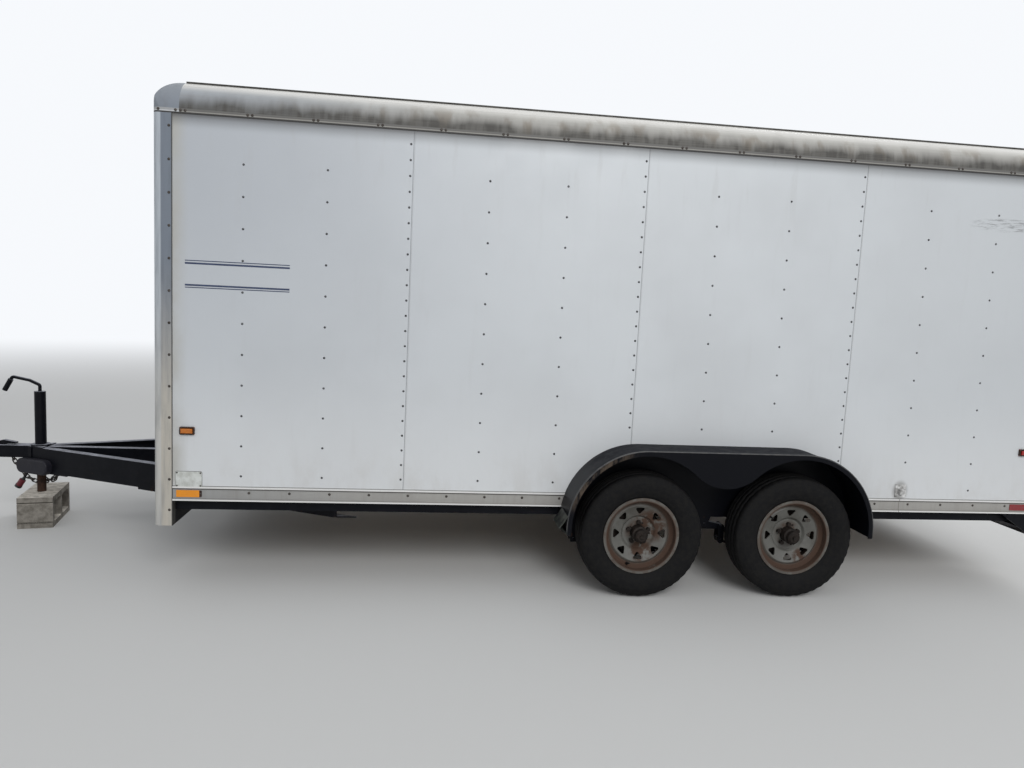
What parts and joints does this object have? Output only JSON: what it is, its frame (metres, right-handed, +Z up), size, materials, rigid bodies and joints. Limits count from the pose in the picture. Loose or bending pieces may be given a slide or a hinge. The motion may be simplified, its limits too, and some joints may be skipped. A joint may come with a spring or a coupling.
{
  "type": "enclosed cargo trailer",
  "caption": "Box trailer with rounded roof edges, barn doors, side door, twin-axle fenders, A-frame tongue and jack on a block.",
  "frame": {"origin": "on the ground under the middle of the whole trailer", "axes": "+X towards the rear doors, +Y towards the trailer's right side, +Z up"},
  "size_m": [6.426, 2.586, 2.538],
  "materials": {
    "white_sheet": "gloss enamel on aluminium sheet, weathered and streaked",
    "aluminium_trim": "mill finish, dulled and stained",
    "black_steel": "satin black paint, dusty, scuffed along the edges",
    "wheel_white": "white wheel paint with rust round the well",
    "hub_rust": "bare iron, rusty brown",
    "tyre_black": "matte, dusty",
    "rusty_tube": "rusty drawn steel",
    "chain_steel": "dull plated steel, dirty",
    "concrete": "rough cast concrete",
    "plywood": "sheathing plywood, worn",
    "amber_lens": "clear amber lens",
    "red_lens": "clear red lens",
    "bright_steel": "zinc plated, dulled",
    "black_rubber": "black cable sheath",
    "plug_red": "dark red moulded plug"
  },
  "bodies": {
    "chassis": {"amber_lamps": "amber_lens", "axles": "black_steel", "bottom_rails": "aluminium_trim", "cable_gland": "black_rubber", "cable_plug": "plug_red", "concrete_block": "concrete", "corner_caps": "aluminium_trim", "coupler": "black_steel", "cove_front": "aluminium_trim", "cove_left": "aluminium_trim", "cove_right": "aluminium_trim", "crossmembers": "black_steel", "door_catches": "bright_steel", "fender_left": "black_steel", "fender_right": "black_steel", "floor_deck": "plywood", "front_posts": "aluminium_trim", "front_skirt": "black_steel", "front_wall": "white_sheet", "jack_tube": "black_steel", "leaf_springs": "black_steel", "left_wall": "white_sheet", "lock_keepers": "bright_steel", "main_rails": "black_steel", "rear_header": "aluminium_trim", "rear_posts": "aluminium_trim", "rear_sill": "black_steel", "red_lamps": "red_lens", "right_wall": "white_sheet", "roof_panel": "white_sheet", "safety_chains": "chain_steel", "side_door_frame": "aluminium_trim", "spring_hangers": "black_steel", "tongue_case": "black_rubber", "tongue_centre_member": "black_steel", "tongue_plates": "black_steel", "tongue_rails": "black_steel", "trailer_cable": "black_rubber"},
    "rear_leaf_left": {"hinge_straps_left": "bright_steel", "lock_bar_left": "bright_steel", "rear_door_left": "white_sheet"},
    "rear_leaf_right": {"hinge_straps_right": "bright_steel", "lock_bar_right": "bright_steel", "rear_door_right": "white_sheet"},
    "front_left_wheel": {"hub_front_left": "hub_rust", "tyre_front_left": "tyre_black", "wheel_front_left": "wheel_white"},
    "front_right_wheel": {"hub_front_right": "hub_rust", "tyre_front_right": "tyre_black", "wheel_front_right": "wheel_white"},
    "rear_left_wheel": {"hub_rear_left": "hub_rust", "tyre_rear_left": "tyre_black", "wheel_rear_left": "wheel_white"},
    "rear_right_wheel": {"hub_rear_right": "hub_rust", "tyre_rear_right": "tyre_black", "wheel_rear_right": "wheel_white"},
    "jack_leg_body": {"jack_leg": "rusty_tube"},
    "side_leaf": {"side_door": "white_sheet"}
  },
  "joints": [
    {"name": "spin_front_left", "type": "hinge", "parent": "chassis", "child": "front_left_wheel", "pos_m": [0.703, -1.153, 0.334], "axis": [0, 1, 0], "continuous": true},
    {"name": "spin_front_right", "type": "hinge", "parent": "chassis", "child": "front_right_wheel", "pos_m": [0.703, 1.153, 0.334], "axis": [0, 1, 0], "continuous": true},
    {"name": "spin_rear_left", "type": "hinge", "parent": "chassis", "child": "rear_left_wheel", "pos_m": [1.551, -1.153, 0.334], "axis": [0, 1, 0], "continuous": true},
    {"name": "spin_rear_right", "type": "hinge", "parent": "chassis", "child": "rear_right_wheel", "pos_m": [1.551, 1.153, 0.334], "axis": [0, 1, 0], "continuous": true},
    {"name": "rear_door_left_swing", "type": "hinge", "parent": "chassis", "child": "rear_leaf_left", "pos_m": [3.201, -1.091, 1.449], "axis": [0, 0, -1], "range_deg": [0, 270]},
    {"name": "rear_door_right_swing", "type": "hinge", "parent": "chassis", "child": "rear_leaf_right", "pos_m": [3.201, 1.091, 1.449], "axis": [0, 0, 1], "range_deg": [0, 270]},
    {"name": "side_door_swing", "type": "hinge", "parent": "chassis", "child": "side_leaf", "pos_m": [-1.486, 1.079, 1.4235], "axis": [0, 0, 1], "range_deg": [0, 170]},
    {"name": "jack_slide", "type": "slide", "parent": "chassis", "child": "jack_leg_body", "axis": [0, 0, 1], "range_m": [0, 0.23]}
  ]
}
